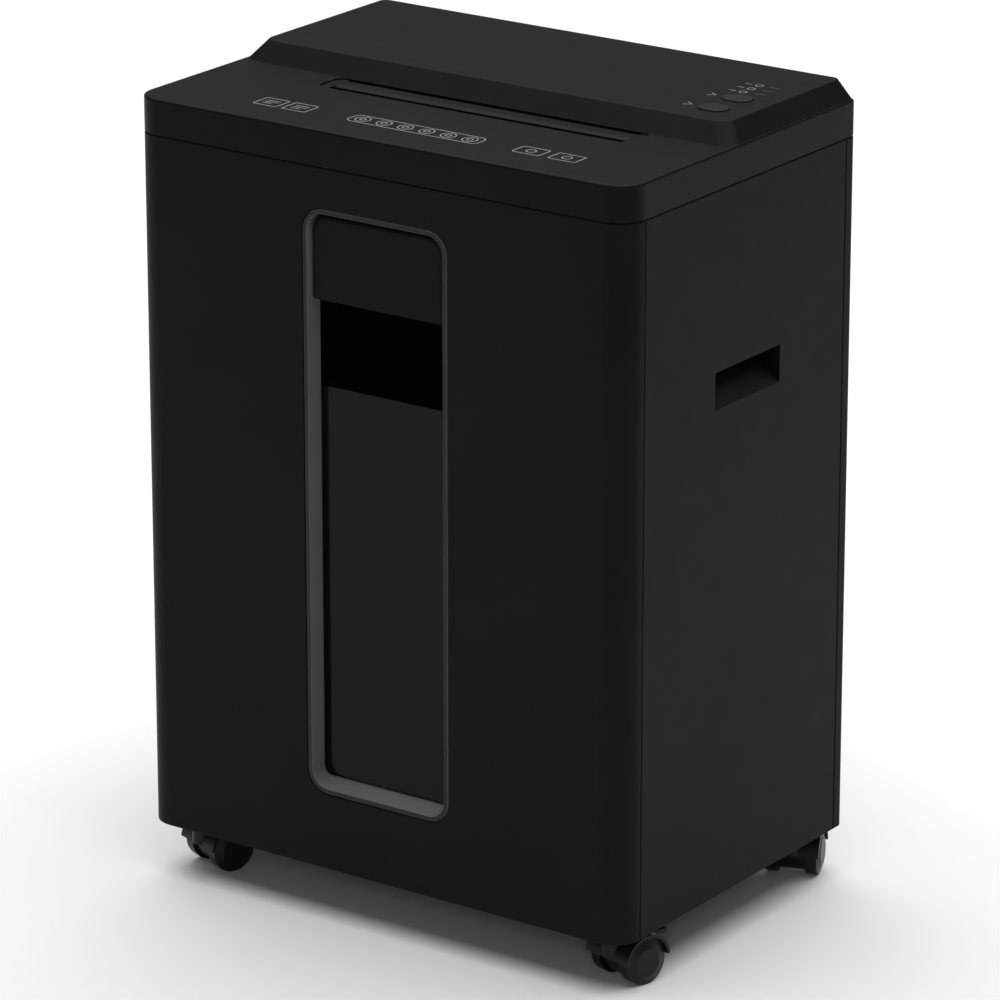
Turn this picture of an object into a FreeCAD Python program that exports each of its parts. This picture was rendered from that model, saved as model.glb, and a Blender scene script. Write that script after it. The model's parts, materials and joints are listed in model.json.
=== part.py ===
"""Paper shredder on four twin-wheel casters, with a pull-out bin and a two-roller cross-cut head.

Millimetres. +X is to the right as the user faces the front, +Y to the back and +Z up.
The origin is on the floor, below the middle of the cabinet.
"""
import FreeCAD, Part
import Sketcher
import math
import os
from FreeCAD import Placement, Rotation, Vector

doc = FreeCAD.newDocument("PaperShredder")


# ---------------------------------------------------------------- driving dimensions

SIZES = {
    # overall
    "width": 370, "depth": 252, "body_height": 459,
    "head_height": 23, "housing_height": 12, "corner_radius": 18, "back_radius": 5,
    # walls and gaps
    "panel_wall": 2.5, "past": 1, "seam_gap": 0.5, "fit_gap": 0.3, "edge_radius": 0.8,
    "deck_radius": 1.6, "rim_radius": 0.5, "crown_radius": 1.2,
    # cabinet
    "back_depth": 11, "base_height": 14, "base_wall": 3,
    "tray_wall": 3, "baffle_wall": 1.5, "baffle_inset": 40,
    "pocket_width": 72, "pocket_tall": 24, "pocket_deep": 15, "pocket_drop": 114.5,
    "pocket_shift": 6, "pocket_rise": 0.65, "cup_wall": 1.5,
    # bin front
    "fascia_depth": 19, "fascia_wall": 2.5, "window_width": 108, "window_drop": 26.5,
    "window_level": 51, "window_radius": 15, "rim_width": 3, "rim_gap": 0.6,
    "trough_depth": 12, "trough_run": 1, "trough_foot": 5, "trough_radius": 5.5,
    "trough_mouth_radius": 12,
    "pane_wall": 2, "pane_groove": 2.5, "pane_raise": 1.5,
    "grip_recess": 3, "grip_wall": 4, "grip_height": 55.5, "grip_stay": 3, "stay_inset": 12,
    "scoop_height": 57.5, "scoop_depth": 36, "scoop_radius": 20, "grip_round": 3,
    # bin tub
    "bin_wall": 2, "tub_clear": 4, "bin_side_gap": 3, "bin_back_gap": 12,
    "fascia_screw_inset": 45, "fascia_screw_lift": 25, "boss_half": 4,
    "screw_radius": 1.6, "screw_length": 8, "screw_head": 3.2, "screw_cap": 1.8,
    "socket_radius": 6, "rail_wide": 8, "rail_height": 4, "rail_end": 6, "drop_margin": 3,
    "rebate": 2, "view_margin": 8, "tab_drop": 20, "tab_inset": 120, "tab_wide": 10,
    "tab_tall": 6, "tab_gap": 13, "switch_deep": 12,
    "vent_columns": 2, "vent_rows": 7, "vent_left": -150, "vent_long": 90, "vent_gap": 20,
    "vent_drop": 12, "vent_pitch": 8, "vent_tall": 3, "vent_flat": 0.1,
    # mains module
    "inlet_drop": 34, "inlet_tall": 26, "inlet_inset": 26, "inlet_wide": 56, "inlet_deep": 14,
    "inlet_rim": 3, "inlet_lip": 2, "socket_edge": 3, "socket_deep": 16, "pin_pitch": 7,
    "pin_back": 6, "pin_lift": 2, "pin_wide": 2, "pin_tall": 4, "rocker_wide": 16,
    "rocker_pin": 1.2, "axle_reach": 1.2, "rocker_round": 3.5, "rocker_clear": 1.5,
    "rocker_out": 4.5, "rocker_dish": 2.5, "rocker_depth": 4,
    # head
    "head_wall": 2.5, "slope_run": 10.5, "housing_foot": 110, "housing_corner": 9,
    "slot_length": 220, "slot_gap": 7, "slot_shift": 12, "slot_front": 85, "slot_block": 7,
    "ramp_run": 5, "ramp_drop": 0.6, "recess_drop": 0.8, "recess_end": 8, "recess_front": 1.5,
    "recess_margin": 1, "recess_round": 7, "groove_wide": 3.5, "groove_deep": 3,
    "slot_flange": 19, "slot_lip": 12, "foot_inset": 0.6, "crown_back": 3, "guide_wall": 1.5,
    "guide_lift": 18,
    # controls
    "button_length": 20, "button_wide": 15, "button_travel": 1.2, "button_proud": 0.8,
    "button_inset": 35, "button_first": 34, "button_pitch": 26.5, "button_gap": 0.35,
    "button_round": 7, "button_edge": 0.5, "button_flange": 1.5, "flange_wall": 1.2,
    "lens_length": 8, "lens_wide": 2.4, "lens_pitch": 9, "lens_first": 76, "lens_shift": 6,
    "lens_proud": 0.2, "board_drop": 24, "board_wall": 1.6, "board_long": 56, "board_deep": 96,
    "board_shift": 6, "post_radius": 2.5, "post_inset": 4, "switch_drop": 14, "switch_half": 3,
    "relay_size": 9, "relay_gap": 3,
    # cutter block
    "cutter_drop": 39, "roller_pitch": 28, "land_radius": 15.2, "groove_radius": 12.2,
    "land_width": 3.8, "land_pitch": 8, "land_count": 27, "journal_radius": 5,
    "plate_wall": 3, "plate_height": 80, "plate_gap": 8, "plate_inset": 12, "plate_tail": 24,
    "bush_radius": 8, "rod_radius": 4, "rod_lift": 2, "comb_gap": 0.6, "comb_side": 0.8,
    "comb_half": 2, "comb_deep": 4,
    # gear train: modules and tooth counts
    "sync_module": 2, "sync_teeth": 14, "final_module": 1.5, "final_pinion": 14,
    "final_teeth": 46, "first_module": 1, "first_pinion": 12, "first_teeth": 54,
    "gear_wide": 8, "gear_gap": 1, "gear_backlash": 0.12, "motor_radius": 31, "motor_length": 92,
    "shaft_radius": 3, "running_gap": 0.05, "axle_pin": 4, "nose_radius": 9, "foot_half": 10,
    "rotor_radius": 21, "rotor_gap": 4, "capacitor_radius": 16, "capacitor_length": 70,
    "capacitor_inset": 12, "corner_hold": 6,
    # casters
    "wheel_radius": 15, "wheel_wide": 9.5, "caster_wide": 38, "caster_trail": 13,
    "caster_inset_x": 25, "caster_inset_front": 26, "caster_inset_rear": 22,
    "stem_radius": 4, "axle_radius": 2,
    "front_caster_turn": 14, "left_caster_turn": 20, "rear_caster_turn": -22, "rear_left_turn": 62,
    "fender_gap": 1, "fender_wall": 2, "fender_lift": 2, "wheel_gap": 0.5, "web_lift": 2.5,
    "boss_radius": 7, "boss_lift": 3, "boss_drop": 2, "boss_floor": 2, "bridge_half": 5,
    "bridge_drop": 2, "hood_clear": 3, "collar_radius": 5.5, "wheel_crown": 2, "wheel_bevel": 0.5,
    "dome_share": 0.6, "pedal_angle": 45, "pedal_pin": 0.8, "pedal_barrel": 1.8, "pedal_wide": 14,
    "pedal_length": 14, "pedal_wall": 2.4, "pedal_reach": 1.2,
}

sheet = doc.addObject("Spreadsheet::Sheet", "Sizes")
for row, (alias, number) in enumerate(SIZES.items(), start=1):
    sheet.set(f"A{row}", alias)
    sheet.set(f"B{row}", str(number))
    sheet.setAlias(f"B{row}", alias)
doc.recompute()


class Dim:
    """A size worked out from the sheet: its value now, and the expression that keeps it so."""

    def __init__(self, value, text):
        self.value = float(value)
        self.text = text

    def __add__(self, other):
        other = dim(other)
        return Dim(self.value + other.value, f"({self.text} + {other.text})")

    def __sub__(self, other):
        other = dim(other)
        return Dim(self.value - other.value, f"({self.text} - {other.text})")

    def __mul__(self, other):
        other = dim(other)
        return Dim(self.value * other.value, f"({self.text} * {other.text})")

    def __truediv__(self, other):
        other = dim(other)
        return Dim(self.value / other.value, f"({self.text} / {other.text})")

    def __neg__(self):
        return Dim(-self.value, f"(0 - {self.text})")

    __radd__ = __add__

    def __rsub__(self, other):
        return dim(other) - self

    def __rmul__(self, other):
        return self * other


def dim(number):
    """A plain number as a Dim, or the Dim itself."""
    if isinstance(number, Dim):
        return number
    return Dim(number, f"({number})")


class Sheet:
    """Reads a driving dimension by name, such as size.width."""

    def __getattr__(self, alias):
        return Dim(sheet.get(alias), f"Sizes.{alias}")


size = Sheet()


def bind(thing, prop, amount):
    """Sets a property from a Dim, bound to the sheet, or from a plain number."""
    thing.setExpression(prop, dim(amount).text)


def bind_base(thing, place, prefix="Placement"):
    for axis, amount in zip("xyz", place):
        bind(thing, f"{prefix}.Base.{axis}", amount)


# ---------------------------------------------------------------- solids from primitives

TURNS = {
    "Z": Rotation(),
    "X": Rotation(Vector(0, 1, 0), 90),
    "Y": Rotation(Vector(1, 0, 0), -90),
}


def box(name, low, high):
    """A block from its lowest corner to its highest."""
    low = [dim(v) for v in low]
    high = [dim(v) for v in high]
    made = doc.addObject("Part::Box", name)
    for prop, a, b in zip(("Length", "Width", "Height"), low, high):
        bind(made, prop, b - a)
    bind_base(made, low)
    return made


def cylinder(name, radius, start, length, axis="Z"):
    """A round bar from its start point along an axis of the frame."""
    made = doc.addObject("Part::Cylinder", name)
    bind(made, "Radius", radius)
    bind(made, "Height", length)
    made.Placement = Placement(Vector(), TURNS[axis])
    bind_base(made, start)
    return made


def fuse(name, *shapes):
    made = doc.addObject("Part::MultiFuse", name)
    made.Shapes = list(shapes)
    return made


def cut(name, base, *tools):
    made = doc.addObject("Part::Cut", name)
    made.Base = base
    made.Tool = tools[0] if len(tools) == 1 else fuse(name + "_tools", *tools)
    return made


def round_edges(name, source, radius, chosen):
    """Part::Fillet on the edges of source for which chosen(edge) is true."""
    doc.recompute()
    made = doc.addObject("Part::Fillet", name)
    made.Base = source
    r = dim(radius).value
    made.Edges = [(n, r, r) for n, e in enumerate(source.Shape.Edges, start=1) if chosen(e)]
    return made


def centre(edge):
    return edge.BoundBox.Center


def along(edge, axis, least=0.0):
    """Whether a straight edge runs along X, Y or Z and is longer than least."""
    if not isinstance(edge.Curve, Part.Line):
        return False
    lengths = {"X": edge.BoundBox.XLength, "Y": edge.BoundBox.YLength, "Z": edge.BoundBox.ZLength}
    span = lengths.pop(axis)
    return span > max(least, 1e-6) and max(lengths.values()) < 1e-6


def flat_in(edge, axis):
    """Whether an edge lies in a plane square to X, Y or Z."""
    spans = {"X": edge.BoundBox.XLength, "Y": edge.BoundBox.YLength, "Z": edge.BoundBox.ZLength}
    return spans[axis] < 1e-6


def near(a, b, gap=0.05):
    return abs(a - dim(b).value) < gap


def prism(name, points, axis, start, length):
    """A straight bar along an axis from start, with a section given by points in the other two.

    The section's coordinates are (Y, Z) for a bar along X, (X, Z) along Y and (X, Y) along Z.
    """
    flat = [[dim(a).value, dim(b).value] for a, b in points]
    spots = {"X": lambda a, b: (0, a, b), "Y": lambda a, b: (a, 0, b), "Z": lambda a, b: (a, b, 0)}
    ring = [Vector(*spots[axis](a, b)) for a, b in flat]
    section = doc.addObject("Part::Feature", name + "_section")
    section.Shape = Part.Face(Part.makePolygon(ring + ring[:1]))
    made = doc.addObject("Part::Extrusion", name)
    made.Base = section
    made.DirMode = "Custom"
    made.Dir = Vector(*[1 if axis == a else 0 for a in "XYZ"])
    made.Solid = True
    bind(made, "LengthFwd", length)
    bind(made, "Placement.Base." + axis.lower(), start)
    return made


def mirrored(name, source):
    """The same solid on the other side of the cabinet's middle plane."""
    made = doc.addObject("Part::Mirroring", name)
    made.Source = source
    made.Base = Vector()
    made.Normal = Vector(1, 0, 0)
    return made


# ---------------------------------------------------------------- PartDesign bodies

def new_body(name):
    return doc.addObject("PartDesign::Body", name)


def plane_of(body, role):
    return next(f for f in body.Origin.OriginFeatures if f.Role == role)


def new_sketch(body, name, role, offset=0):
    """A sketch on one of the body's origin planes, moved along that plane's normal."""
    made = body.newObject("Sketcher::SketchObject", name)
    made.AttachmentSupport = [(plane_of(body, role), "")]
    made.MapMode = "FlatFace"
    bind(made, "AttachmentOffset.Base.z", offset)
    return made


def outline(made, left, right, low, high, radii=(0, 0, 0, 0)):
    """A closed rectangle whose corners (low left, low right, high right, high left) may be round."""
    left, right, low, high = (dim(v) for v in (left, right, low, high))
    radii = [dim(r) for r in radii]
    corners = [(left, low, 180), (right, low, 270), (right, high, 0), (left, high, 90)]
    inward = [(1, 1), (-1, 1), (-1, -1), (1, -1)]
    exits = [(1, 0), (0, 1), (-1, 0), (0, -1)]
    starts, ends, arcs = [], [], []
    for n, ((x, y, angle), (sx, sy), r) in enumerate(zip(corners, inward, radii)):
        hub = Vector(x.value + sx * r.value, y.value + sy * r.value, 0)
        before, after = exits[n - 1], exits[n]
        ends.append(Vector(x.value, y.value, 0) - Vector(*before, 0) * r.value)
        starts.append(Vector(x.value, y.value, 0) + Vector(*after, 0) * r.value)
        if r.value:
            circle = Part.Circle(hub, Vector(0, 0, 1), r.value)
            first = math.radians(angle)
            arcs.append(made.addGeometry(Part.ArcOfCircle(circle, first, first + math.pi / 2)))
        else:
            arcs.append(None)
    sides = [made.addGeometry(Part.LineSegment(starts[n], ends[(n + 1) % 4])) for n in range(4)]
    add = made.addConstraint
    for n in range(4):
        arc, before, after = arcs[n], sides[n - 1], sides[n]
        if arc is None:
            add(Sketcher.Constraint("Coincident", before, 2, after, 1))
        else:
            add(Sketcher.Constraint("Tangent", before, 2, arc, 1))
            add(Sketcher.Constraint("Tangent", arc, 2, after, 1))
            key = add(Sketcher.Constraint("Radius", arc, radii[n].value))
            bind(made, f"Constraints[{key}]", radii[n])
    for n, kind in enumerate(("Horizontal", "Vertical", "Horizontal", "Vertical")):
        add(Sketcher.Constraint(kind, sides[n]))
    for n, kind, amount in ((0, "DistanceY", low), (1, "DistanceX", right), (2, "DistanceY", high),
                            (3, "DistanceX", left)):
        key = add(Sketcher.Constraint(kind, -1, 1, sides[n], 1, amount.value))
        bind(made, f"Constraints[{key}]", amount)
    return made


def pad(body, profile, length, backwards=False):
    made = body.newObject("PartDesign::Pad", profile.Name + "_pad")
    made.Profile = profile
    bind(made, "Length", length)
    made.Reversed = backwards
    return made


def pocket(body, profile, length, backwards=False):
    """A pocket that runs against the sketch's normal, or along it when backwards."""
    made = body.newObject("PartDesign::Pocket", profile.Name + "_pocket")
    made.Profile = profile
    bind(made, "Length", length)
    made.Reversed = backwards
    return made


def body_fillet(body, radius, chosen):
    """A fillet on the edges of the body's tip for which chosen(edge) is true."""
    doc.recompute()
    tip = body.Tip
    names = [f"Edge{n}" for n, e in enumerate(tip.Shape.Edges, start=1) if chosen(e)]
    made = body.newObject("PartDesign::Fillet", tip.Name + "_round")
    made.Base = (tip, names)
    bind(made, "Radius", radius)
    return made


# ---------------------------------------------------------------- shared levels and places

half_width = size.width / 2
half_depth = size.depth / 2
hood_top = size.wheel_radius * 2 + size.fender_gap + size.fender_wall
boss_foot = size.wheel_radius + size.boss_lift
base_level = hood_top + size.hood_clear
seam_level = base_level + size.body_height
deck_level = seam_level + size.head_height
top_level = deck_level + size.housing_height
front_seam = size.fascia_depth + size.seam_gap - half_depth
back_seam = half_depth - size.back_depth
tray_top = seam_level - size.plate_height
housing_front = half_depth - size.depth + size.housing_foot
slot_centre = size.slot_shift
slot_left = slot_centre - size.slot_length / 2
slot_right = slot_centre + size.slot_length / 2
slot_low = size.slot_front - half_depth
slot_high = slot_low + size.slot_gap
recess_high = housing_front - size.recess_margin
nip = slot_low + size.slot_gap / 2
front_roller = nip - size.roller_pitch / 2
rear_roller = nip + size.roller_pitch / 2
cutter_level = seam_level - size.cutter_drop
shell_height = size.body_height - size.seam_gap
shell_top = base_level + shell_height
panel_face = half_width - size.panel_wall
pocket_low_y = size.pocket_shift - size.pocket_width / 2
pocket_high_y = pocket_low_y + size.pocket_width
pocket_high_z = seam_level - size.pocket_drop
pocket_low_z = pocket_high_z - size.pocket_tall
pocket_back = half_width - size.pocket_deep
panel_back = back_seam - size.seam_gap
baffle_face = size.baffle_inset - half_depth
window_left = -(size.window_width / 2)
window_right = size.window_width / 2
window_low = base_level + size.window_level
window_high = seam_level - size.window_drop
mouth_left = window_left + size.rim_width
mouth_right = window_right - size.rim_width
mouth_low = window_low + size.rim_width
mouth_high = window_high - size.rim_width
trough_back = size.trough_depth - half_depth
pane_left = mouth_left + size.trough_run
pane_right = mouth_right - size.trough_run
pane_low = mouth_low + size.trough_foot
pane_high = mouth_high - size.trough_run
grip_low = mouth_high - size.grip_height
scoop_low = grip_low - size.scoop_height
fascia_back = size.fascia_depth - half_depth
rail_top = base_level + size.base_height + size.rail_height
tub_low = rail_top + size.fit_gap
tub_high = pocket_low_z - size.cup_wall - size.tub_clear
fascia_screw_x = half_width - size.fascia_screw_inset
fascia_screw_low = tub_low + size.fascia_screw_lift
fascia_screw_high = tub_high - size.fascia_screw_lift
inlet_high = base_level + size.body_height - size.inlet_drop
inlet_low = inlet_high - size.inlet_tall
inlet_right = half_width - size.inlet_inset
inlet_left = inlet_right - size.inlet_wide
tab_level = seam_level - size.tab_drop
tab_left = -size.tab_inset - size.tab_wide / 2
tab_tip = baffle_face - size.tab_gap
cavity_left = size.slope_run + size.head_wall * 2 - half_width
cavity_right = -cavity_left
cavity_front = housing_front + size.slope_run + size.head_wall
cavity_back = half_depth - size.head_wall - size.foot_inset
button_x = half_width - size.button_inset
button_first_y = housing_front + size.button_first
button_second_y = button_first_y + size.button_pitch
lens_left = button_x - size.lens_length / 2 + size.lens_shift
lens_first_y = housing_front + size.lens_first
switch_top = top_level - size.switch_drop
board_level = top_level - size.board_drop
board_x = button_x
board_y = (button_first_y + lens_first_y) / 2 + size.board_shift
left_plate = slot_left - size.plate_gap - size.plate_wall
right_plate = slot_right + size.plate_gap
middle_y = rear_roller + size.final_module * (size.final_teeth + size.final_pinion) / 2
motor_y = middle_y + size.first_module * (size.first_teeth + size.first_pinion) / 2
gear_start = right_plate + size.plate_wall + size.gear_gap
output_start = gear_start + size.gear_wide + size.gear_gap
cover_face = output_start + size.gear_wide + size.gear_gap
rocker_left = inlet_left + size.socket_edge
rocker_right = rocker_left + size.rocker_wide
socket_left = rocker_right + size.socket_edge
socket_right = inlet_right - size.socket_edge
socket_low = inlet_low + size.socket_edge
socket_high = inlet_high - size.socket_edge
rocker_y = half_depth - size.panel_wall - size.inlet_lip - size.rocker_depth
rocker_z = (socket_low + socket_high) / 2
stem_foot = boss_foot + size.boss_floor
pedal_lift = size.wheel_radius + size.fender_gap + size.fender_wall / 2
pedal_y = size.caster_trail + pedal_lift * math.cos(math.radians(size.pedal_angle.value))
pedal_z = size.wheel_radius + pedal_lift * math.sin(math.radians(size.pedal_angle.value))
PARTS = {}


def keep(node, thing):
    """Names a finished sub-part: its label is its node's name."""
    thing.Label = node
    PARTS[node] = thing
    return thing


# ---------------------------------------------------------------- cabinet shell

def side_panel(name):
    """The right-hand wall with its moulded grip pocket, whose floor ramps up and inwards."""
    wall = size.cup_wall
    blank = box("panel_blank", (panel_face, front_seam, base_level), (half_width, panel_back, shell_top))
    plate = round_edges("panel_sheet", blank, size.edge_radius, lambda e: near(centre(e).x, half_width))
    cup_low = (pocket_back - wall, pocket_low_y - wall, pocket_low_z - wall)
    cup = box("pocket_cup", cup_low, (panel_face, pocket_high_y + wall, pocket_high_z + wall))
    hollow = box("pocket_hollow", (pocket_back, pocket_low_y, pocket_low_z),
                 (half_width + size.past, pocket_high_y, pocket_high_z))
    ramp_top = pocket_low_z + size.pocket_tall * size.pocket_rise
    corners = [(pocket_back, pocket_low_z), (half_width, pocket_low_z), (pocket_back, ramp_top)]
    ramp = prism("pocket_ramp", corners, "Y", pocket_low_y, size.pocket_width)
    return fuse(name, cut("panel_pierced", fuse("panel_with_cup", plate, cup), hollow), ramp)


def back_panel():
    """The rear wall: a shallow tray that wraps both rear corners, pierced for the mains module."""
    body = new_body("back_panel")
    rim = outline(new_sketch(body, "back_outline", "XY_Plane", base_level), -half_width, half_width,
                  back_seam, half_depth, (0, 0, size.back_radius, size.back_radius))
    pad(body, rim, shell_height)
    body_fillet(body, size.edge_radius, lambda e: not along(e, "X") or not near(centre(e).y, back_seam))
    wall = size.panel_wall
    inner_radius = size.back_radius - wall
    inside = outline(new_sketch(body, "back_inside", "XY_Plane", base_level + wall), wall - half_width,
                     half_width - wall, back_seam - size.past, half_depth - wall, (0, 0, inner_radius,
                                                                                   inner_radius))
    pocket(body, inside, shell_height - wall * 2, backwards=True)
    vents = new_sketch(body, "vent_slots", "XZ_Plane", -back_seam)
    for column in range(int(size.vent_columns.value)):
        left = size.vent_left + (size.vent_long + size.vent_gap) * column
        for row in range(int(size.vent_rows.value)):
            top = shell_top - size.vent_drop - size.vent_pitch * row
            r = size.vent_tall / 2 - size.vent_flat
            outline(vents, left, left + size.vent_long, top - size.vent_tall, top, (r, r, r, r))
    pocket(body, vents, size.back_depth + size.past)
    module = outline(new_sketch(body, "module_hole", "XZ_Plane", -back_seam), inlet_left, inlet_right,
                     inlet_low, inlet_high)
    pocket(body, module, size.back_depth + size.past)
    return body


def bin_front():
    """The bin's fascia: a deep tray open at the back, with round front corners and four screw bosses."""
    body = new_body("bin_front")
    wall = size.fascia_wall
    depth = size.fascia_depth
    low_y = -half_depth
    round_front = (size.corner_radius, size.corner_radius, 0, 0)
    inner_round = (size.corner_radius - wall, size.corner_radius - wall, 0, 0)
    rim = outline(new_sketch(body, "fascia_outline", "XY_Plane", base_level), -half_width, half_width,
                  low_y, low_y + depth, round_front)
    pad(body, rim, shell_height)
    body_fillet(body, size.edge_radius, lambda e: not along(e, "X") or not near(centre(e).y, fascia_back))
    inside = outline(new_sketch(body, "fascia_inside", "XY_Plane", base_level + wall), wall - half_width,
                     half_width - wall, low_y + wall, low_y + depth + size.past, inner_round)
    pocket(body, inside, shell_height - wall * 2, backwards=True)
    bosses = new_sketch(body, "fascia_bosses", "XZ_Plane", half_depth - wall)
    for x, z in fascia_screws():
        outline(bosses, x - size.boss_half, x + size.boss_half, z - size.boss_half, z + size.boss_half)
    pad(body, bosses, depth - wall, backwards=True)
    gap = size.rim_gap
    radius = size.window_radius + gap
    hole = outline(new_sketch(body, "window_hole", "XZ_Plane", half_depth + size.past), window_left - gap,
                   window_right + gap,
                   window_low - gap, window_high + gap, (radius, radius, radius, radius))
    pocket(body, hole, wall + size.past * 2)
    body_fillet(body, size.rim_radius, lambda e: near(centre(e).y, -half_depth) and flat_in(e, "Y")
                and abs(centre(e).x) < window_right.value + size.window_radius.value
                and window_low.value - 5 < centre(e).z < window_high.value + 5)
    bores = new_sketch(body, "boss_bores", "XZ_Plane", half_depth - depth)
    for x, z in fascia_screws():
        ring(bores, x, z, size.screw_radius)
    pocket(body, bores, size.screw_length, backwards=True)
    return body


def ring(made, x, y, radius):
    """A circle in a sketch, held by its centre and radius."""
    x, y, radius = dim(x), dim(y), dim(radius)
    circle = made.addGeometry(Part.Circle(Vector(x.value, y.value, 0), Vector(0, 0, 1), radius.value))
    for kind, amount in (("DistanceX", x), ("DistanceY", y)):
        key = made.addConstraint(Sketcher.Constraint(kind, -1, 1, circle, 3, amount.value))
        bind(made, f"Constraints[{key}]", amount)
    key = made.addConstraint(Sketcher.Constraint("Radius", circle, radius.value))
    bind(made, f"Constraints[{key}]", radius)


def fascia_screws():
    return [(x, z) for x in (-fascia_screw_x, fascia_screw_x) for z in (fascia_screw_low,
                                                                        fascia_screw_high)]


def base_plate():
    """The moulded floor of the cabinet, with stiffening walls and four sockets for the caster stems."""
    edge = panel_face
    inner = size.base_wall
    low = (-edge, front_seam, base_level)
    high = (edge, back_seam, base_level + size.base_height)
    tray = cut("base_tray", box("base_block", low, high),
               box("base_hollow", (inner - edge, front_seam + inner, base_level + inner),
                   (edge - inner, back_seam - inner, base_level + size.base_height + size.past)))
    places = caster_places()
    sockets = [cylinder(f"socket_{k}", size.socket_radius, (x, y, base_level), size.base_height)
               for k, (x, y) in enumerate(places)]
    bores = [cylinder(f"socket_bore_{k}", size.stem_radius, (x, y, base_level - size.past),
                      size.base_height + size.past * 2)
             for k, (x, y) in enumerate(places)]
    solid = fuse("base_with_sockets", tray, *sockets)
    return cut("base_plate", solid, *bores)


def caster_places():
    """Front left, front right, rear left, rear right."""
    x = half_width - size.caster_inset_x
    front = size.caster_inset_front - half_depth
    rear = half_depth - size.caster_inset_rear
    return [(-x, front), (x, front), (-x, rear), (x, rear)]


def guide_rail(name):
    """An angle along the foot of a side wall, on which the bin's tub runs."""
    return box(name,
               (panel_face - size.rail_wide, front_seam + size.rail_end, base_level + size.base_height),
               (panel_face, back_seam - size.rail_end, rail_top))


def chassis_tray():
    """The plate across the cabinet that carries the cutter block and motor, open below the rollers."""
    low = (-panel_face, baffle_face, tray_top - size.tray_wall)
    high = (panel_face, back_seam, tray_top)
    plate = box("tray_plate", low, high)
    drop = box("tray_drop",
               (slot_left - size.drop_margin, front_roller - size.land_radius, low[2] - size.past),
               (slot_right + size.drop_margin, rear_roller + size.land_radius, tray_top + size.past))
    return cut("chassis_tray", plate, drop)


def head_baffle():
    """The upright sheet that closes the head compartment behind the bin's handle."""
    return box("head_baffle", (-panel_face, baffle_face, tray_top),
               (panel_face, baffle_face + size.baffle_wall, deck_level - size.head_wall))


# ---------------------------------------------------------------- bin

def window_bezel():
    """The trough let into the fascia: a rim, drafted walls and a rear rebate for the pane and cup."""
    body = new_body("window_bezel")
    r = size.window_radius
    front = half_depth
    total = size.trough_depth + size.pane_wall
    rim = outline(new_sketch(body, "bezel_outline", "XZ_Plane", front), window_left, window_right,
                  window_low, window_high, (r, r, r, r))
    pad(body, rim, total, backwards=True)
    m = size.trough_mouth_radius
    mouth = outline(new_sketch(body, "bezel_mouth", "XZ_Plane", front), mouth_left, mouth_right,
                    mouth_low, mouth_high, (m, m, m, m))
    t = size.trough_radius
    foot = outline(new_sketch(body, "bezel_foot", "XZ_Plane", front - size.trough_depth), pane_left,
                   pane_right,
                   pane_low, pane_high, (t, t, t, t))
    trough = body.newObject("PartDesign::SubtractiveLoft", "bezel_trough")
    trough.Profile = mouth
    trough.Sections = [foot]
    body_fillet(body, size.rim_radius, lambda e: near(centre(e).y, -half_depth) and flat_in(e, "Y"))
    seat = outline(new_sketch(body, "bezel_seat", "XZ_Plane", front - size.trough_depth),
                   pane_left - size.rebate,
                   pane_right + size.rebate, pane_low - size.rebate, pane_high + size.rebate)
    pocket(body, seat, size.pane_wall)
    return body


def window_pane():
    """The smoked pane through which the level of shreds shows, its middle raised inside a groove."""
    body = new_body("window_pane")
    front = half_depth - size.trough_depth
    r = size.rebate
    face = outline(new_sketch(body, "pane_outline", "XZ_Plane", front), pane_left - r, pane_right + r,
                   pane_low - r, scoop_low)
    pad(body, face, size.pane_wall, backwards=True)
    g = size.pane_groove
    c = size.trough_radius - g
    raised = outline(new_sketch(body, "pane_middle", "XZ_Plane", front), pane_left + g, pane_right - g,
                     pane_low + g, scoop_low, (c, c, 0, 0))
    pad(body, raised, size.pane_raise)
    return body


def grip_plate():
    """The plate across the top of the trough, whose lower edge is pulled to open the bin."""
    body = new_body("grip_plate")
    gap = size.fit_gap
    m = size.trough_mouth_radius - gap
    left = pane_left + gap
    right = pane_right - gap
    high = pane_high - gap
    front = half_depth - size.grip_recess
    face = outline(new_sketch(body, "grip_outline", "XZ_Plane", front), left, right, grip_low, high,
                   (0, 0, m, m))
    pad(body, face, size.grip_wall, backwards=True)
    body_fillet(body, size.grip_round, lambda e: near(centre(e).y, -front) and flat_in(e, "Y")
                and not near(centre(e).z, grip_low))
    stay = outline(new_sketch(body, "grip_stay", "XZ_Plane", front - size.grip_wall),
                   left + size.stay_inset,
                   right - size.stay_inset, high - size.grip_stay, high)
    pad(body, stay, size.trough_depth - size.grip_recess - size.grip_wall, backwards=True)
    return body


def grip_cup():
    """The finger scoop behind the grip plate: a pocket with a rounded floor, open at the front."""
    body = new_body("grip_cup")
    wall = size.cup_wall
    r = size.scoop_radius
    left = pane_left - size.rebate
    right = pane_right + size.rebate
    back = size.scoop_depth - half_depth
    high = pane_high + size.rebate
    shell = outline(new_sketch(body, "cup_outline", "YZ_Plane", left), trough_back, back, scoop_low, high,
                    (0, r, 0, 0))
    pad(body, shell, right - left)
    hollow = outline(new_sketch(body, "cup_hollow", "YZ_Plane", left + wall), trough_back - size.past,
                     back - wall,
                     scoop_low + wall, high - wall, (0, r - wall, 0, 0))
    pocket(body, hollow, right - left - wall * 2, backwards=True)
    return body


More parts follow.
